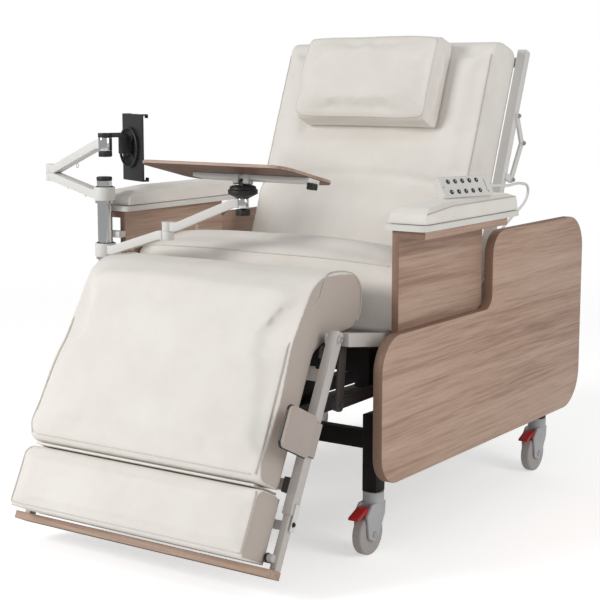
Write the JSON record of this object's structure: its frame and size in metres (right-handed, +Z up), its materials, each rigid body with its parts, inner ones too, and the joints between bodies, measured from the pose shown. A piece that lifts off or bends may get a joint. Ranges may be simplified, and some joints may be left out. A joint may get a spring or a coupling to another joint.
{
  "type": "patient recliner chair",
  "caption": "Powered patient recliner on braked casters: raising seat, tilting back, leg and foot rest, head pillow, wooden side panels, swing-arm table, tablet holder and corded handset",
  "frame": {"origin": "on the floor, midway between the four caster swivel axes", "axes": "+Z up, the chair faces -Y, +X is the occupant's left"},
  "size_m": [1.181, 1.4567, 1.2087],
  "materials": {
    "upholstery": "soft off-white woven upholstery",
    "laminate": "light brown oak laminate",
    "white_paint": "satin white powder coat",
    "grey_paint": "satin dark grey powder coat",
    "black_paint": "satin black powder coat",
    "chrome": "polished chrome",
    "black_plastic": "moulded black plastic",
    "white_plastic": "moulded off-white plastic",
    "grey_plastic": "moulded grey plastic",
    "grey_rubber": "dark grey caster tread",
    "red_plastic": "red moulded pedal",
    "aluminium": "brushed and anodised aluminium"
  },
  "bodies": {
    "base": {"base_legs": "black_paint", "base_beams": "black_paint", "lift_columns_outer": "black_paint", "outer_panels": "laminate"},
    "lift": {"seat_carrier": "black_paint", "lift_columns_inner": "aluminium", "inner_panels": "laminate", "arm_trays": "white_plastic", "arm_pads": "upholstery", "pole": "chrome", "pole_brackets": "white_paint", "handset_case": "white_plastic", "handset_cord": "white_plastic", "seat_frame": "white_paint", "seat_cushion": "upholstery"},
    "back": {"back_frame": "white_paint", "back_cushion": "upholstery", "pillow": "upholstery"},
    "leg": {"leg_frame": "white_paint", "leg_cushion": "upholstery", "leg_side_pad": "upholstery", "leg_levers": "grey_paint"},
    "tie": {"leg_tie_bars": "grey_paint"},
    "foot": {"foot_frame": "white_paint", "foot_cushion": "upholstery", "foot_plate": "laminate"},
    "screen_lower": {"screen_arm_lower": "white_paint"},
    "screen_upper": {"screen_arm_upper": "white_paint"},
    "screen_wrist": {"screen_bracket": "black_plastic"},
    "screen": {"screen_plate": "black_plastic"},
    "table_lower": {"table_arm_lower": "white_paint"},
    "table_upper": {"table_arm_upper": "white_paint"},
    "table_hub": {"table_swivel": "black_plastic"},
    "table_tilt": {"table_rail": "white_paint"},
    "table": {"table_top": "laminate"},
    "wrist_knob": {"wrist_knob": "black_plastic"},
    "hub_knob": {"hub_knob": "black_plastic"},
    "rail_knob": {"rail_knob": "black_plastic"},
    "fork_front_left": {"caster_fork_front_left": "grey_plastic"},
    "wheel_front_left": {"caster_wheel_front_left": "grey_rubber"},
    "pedal_front_left": {"brake_pedal_front_left": "red_plastic"},
    "fork_front_right": {"caster_fork_front_right": "grey_plastic"},
    "wheel_front_right": {"caster_wheel_front_right": "grey_rubber"},
    "pedal_front_right": {"brake_pedal_front_right": "red_plastic"},
    "fork_rear_left": {"caster_fork_rear_left": "grey_plastic"},
    "wheel_rear_left": {"caster_wheel_rear_left": "grey_rubber"},
    "pedal_rear_left": {"brake_pedal_rear_left": "red_plastic"},
    "fork_rear_right": {"caster_fork_rear_right": "grey_plastic"},
    "wheel_rear_right": {"caster_wheel_rear_right": "grey_rubber"},
    "pedal_rear_right": {"brake_pedal_rear_right": "red_plastic"},
    "button_1": {"button_1": "black_plastic"},
    "button_2": {"button_2": "black_plastic"},
    "button_3": {"button_3": "black_plastic"},
    "button_4": {"button_4": "black_plastic"},
    "button_5": {"button_5": "black_plastic"},
    "button_6": {"button_6": "black_plastic"},
    "button_7": {"button_7": "black_plastic"},
    "button_8": {"button_8": "black_plastic"},
    "button_9": {"button_9": "black_plastic"},
    "button_10": {"button_10": "black_plastic"}
  },
  "joints": [
    {"name": "swivel_front_left", "type": "hinge", "parent": "base", "child": "fork_front_left", "pos_m": [-0.366, -0.441, 0.13], "axis": [0, 0, 1], "continuous": true},
    {"name": "roll_front_left", "type": "hinge", "parent": "fork_front_left", "child": "wheel_front_left", "pos_m": [-0.366, -0.466, 0.05], "axis": [1, 0, 0], "continuous": true},
    {"name": "brake_front_left", "type": "hinge", "parent": "fork_front_left", "child": "pedal_front_left", "pos_m": [-0.366, -0.479, 0.11], "axis": [-1, 0, 0], "range_deg": [-2, 10]},
    {"name": "swivel_front_right", "type": "hinge", "parent": "base", "child": "fork_front_right", "pos_m": [0.366, -0.441, 0.13], "axis": [0, 0, 1], "continuous": true},
    {"name": "roll_front_right", "type": "hinge", "parent": "fork_front_right", "child": "wheel_front_right", "pos_m": [0.366, -0.466, 0.05], "axis": [1, 0, 0], "continuous": true},
    {"name": "brake_front_right", "type": "hinge", "parent": "fork_front_right", "child": "pedal_front_right", "pos_m": [0.366, -0.479, 0.11], "axis": [-1, 0, 0], "range_deg": [-2, 10]},
    {"name": "swivel_rear_left", "type": "hinge", "parent": "base", "child": "fork_rear_left", "pos_m": [-0.366, 0.441, 0.13], "axis": [0, 0, 1], "continuous": true},
    {"name": "roll_rear_left", "type": "hinge", "parent": "fork_rear_left", "child": "wheel_rear_left", "pos_m": [-0.366, 0.416, 0.05], "axis": [1, 0, 0], "continuous": true},
    {"name": "brake_rear_left", "type": "hinge", "parent": "fork_rear_left", "child": "pedal_rear_left", "pos_m": [-0.366, 0.403, 0.11], "axis": [-1, 0, 0], "range_deg": [-2, 10]},
    {"name": "swivel_rear_right", "type": "hinge", "parent": "base", "child": "fork_rear_right", "pos_m": [0.366, 0.441, 0.13], "axis": [0, 0, 1], "continuous": true},
    {"name": "roll_rear_right", "type": "hinge", "parent": "fork_rear_right", "child": "wheel_rear_right", "pos_m": [0.366, 0.416, 0.05], "axis": [1, 0, 0], "continuous": true},
    {"name": "brake_rear_right", "type": "hinge", "parent": "fork_rear_right", "child": "pedal_rear_right", "pos_m": [0.366, 0.403, 0.11], "axis": [-1, 0, 0], "range_deg": [-2, 10]},
    {"name": "lift", "type": "slide", "parent": "base", "child": "lift", "axis": [0, 0, 1], "range_m": [-0.03, 0.11]},
    {"name": "recline", "type": "hinge", "parent": "lift", "child": "back", "pos_m": [0, 0.12, 0.575], "axis": [-1, 0, 0], "range_deg": [-8, 55]},
    {"name": "leg_raise", "type": "hinge", "parent": "lift", "child": "leg", "pos_m": [0, -0.6, 0.528], "axis": [-1, 0, 0], "range_deg": [-3, 63]},
    {"name": "leg_tie", "type": "hinge", "parent": "leg", "child": "tie", "pos_m": [0, -0.54815, 0.36769], "axis": [-1, 0, 0], "range_deg": [-63, 3]},
    {"name": "foot_extend", "type": "slide", "parent": "leg", "child": "foot", "axis": [0, -0.4431, -0.8965], "range_m": [-0.008, 0.118]},
    {"name": "screen_arm_swing", "type": "hinge", "parent": "lift", "child": "screen_lower", "pos_m": [-0.438, -0.456, 0.803], "axis": [0, 0, 1], "range_deg": [0, 60]},
    {"name": "screen_arm_elbow", "type": "hinge", "parent": "screen_lower", "child": "screen_upper", "pos_m": [-0.676, -0.4, 0.845], "axis": [0, 0, 1], "range_deg": [-10, 30]},
    {"name": "screen_wrist_turn", "type": "hinge", "parent": "screen_upper", "child": "screen_wrist", "pos_m": [-0.438, -0.45, 0.93], "axis": [0, 0, 1], "range_deg": [-30, 30]},
    {"name": "screen_plate_turn", "type": "hinge", "parent": "screen_wrist", "child": "screen", "pos_m": [-0.438, -0.45, 0.919], "axis": [0.4003, 0.9164, 0], "range_deg": [-90, 90]},
    {"name": "table_arm_swing", "type": "hinge", "parent": "lift", "child": "table_lower", "pos_m": [-0.438, -0.456, 0.659], "axis": [0, 0, 1], "range_deg": [-60, 5]},
    {"name": "table_arm_elbow", "type": "hinge", "parent": "table_lower", "child": "table_upper", "pos_m": [-0.193, -0.5, 0.737], "axis": [0, 0, 1], "range_deg": [-40, 20]},
    {"name": "table_turn", "type": "hinge", "parent": "table_upper", "child": "table_hub", "pos_m": [-0.001, -0.45, 0.8], "axis": [0, 0, 1], "range_deg": [-40, 40]},
    {"name": "table_tilt", "type": "hinge", "parent": "table_hub", "child": "table_tilt", "pos_m": [-0.001, -0.45, 0.85], "axis": [-1, 0, 0], "range_deg": [-13, 7]},
    {"name": "table_slide", "type": "slide", "parent": "table_tilt", "child": "table", "axis": [1, 0, 0], "range_m": [-0.06, 0.06]},
    {"name": "wrist_knob_turn", "type": "hinge", "parent": "screen_wrist", "child": "wrist_knob", "pos_m": [-0.438, -0.45, 0.904], "axis": [0, 0, 1], "range_deg": [-180, 180]},
    {"name": "hub_knob_turn", "type": "hinge", "parent": "table_hub", "child": "hub_knob", "pos_m": [-0.001, -0.45, 0.78], "axis": [0, 0, 1], "range_deg": [-180, 180]},
    {"name": "rail_knob_turn", "type": "hinge", "parent": "table_tilt", "child": "rail_knob", "pos_m": [0.183, -0.42572, 0.8485], "axis": [0, 0.225, 0.9744], "range_deg": [-180, 180]},
    {"name": "press_button_1", "type": "slide", "parent": "lift", "child": "button_1", "axis": [-0.8365, 0.2241, -0.5], "range_m": [0, 0.0015], "stiffness_N_per_m": 400},
    {"name": "press_button_2", "type": "slide", "parent": "lift", "child": "button_2", "axis": [-0.8365, 0.2241, -0.5], "range_m": [0, 0.0015], "stiffness_N_per_m": 400},
    {"name": "press_button_3", "type": "slide", "parent": "lift", "child": "button_3", "axis": [-0.8365, 0.2241, -0.5], "range_m": [0, 0.0015], "stiffness_N_per_m": 400},
    {"name": "press_button_4", "type": "slide", "parent": "lift", "child": "button_4", "axis": [-0.8365, 0.2241, -0.5], "range_m": [0, 0.0015], "stiffness_N_per_m": 400},
    {"name": "press_button_5", "type": "slide", "parent": "lift", "child": "button_5", "axis": [-0.8365, 0.2241, -0.5], "range_m": [0, 0.0015], "stiffness_N_per_m": 400},
    {"name": "press_button_6", "type": "slide", "parent": "lift", "child": "button_6", "axis": [-0.8365, 0.2241, -0.5], "range_m": [0, 0.0015], "stiffness_N_per_m": 400},
    {"name": "press_button_7", "type": "slide", "parent": "lift", "child": "button_7", "axis": [-0.8365, 0.2241, -0.5], "range_m": [0, 0.0015], "stiffness_N_per_m": 400},
    {"name": "press_button_8", "type": "slide", "parent": "lift", "child": "button_8", "axis": [-0.8365, 0.2241, -0.5], "range_m": [0, 0.0015], "stiffness_N_per_m": 400},
    {"name": "press_button_9", "type": "slide", "parent": "lift", "child": "button_9", "axis": [-0.8365, 0.2241, -0.5], "range_m": [0, 0.0015], "stiffness_N_per_m": 400},
    {"name": "press_button_10", "type": "slide", "parent": "lift", "child": "button_10", "axis": [-0.8365, 0.2241, -0.5], "range_m": [0, 0.0015], "stiffness_N_per_m": 400}
  ],
  "couplings": [
    {"joint": "leg_tie", "follows": "leg_raise", "ratio": -1},
    {"joint": "foot_extend", "follows": "leg_raise", "m_per_rad": 0.1046}
  ]
}
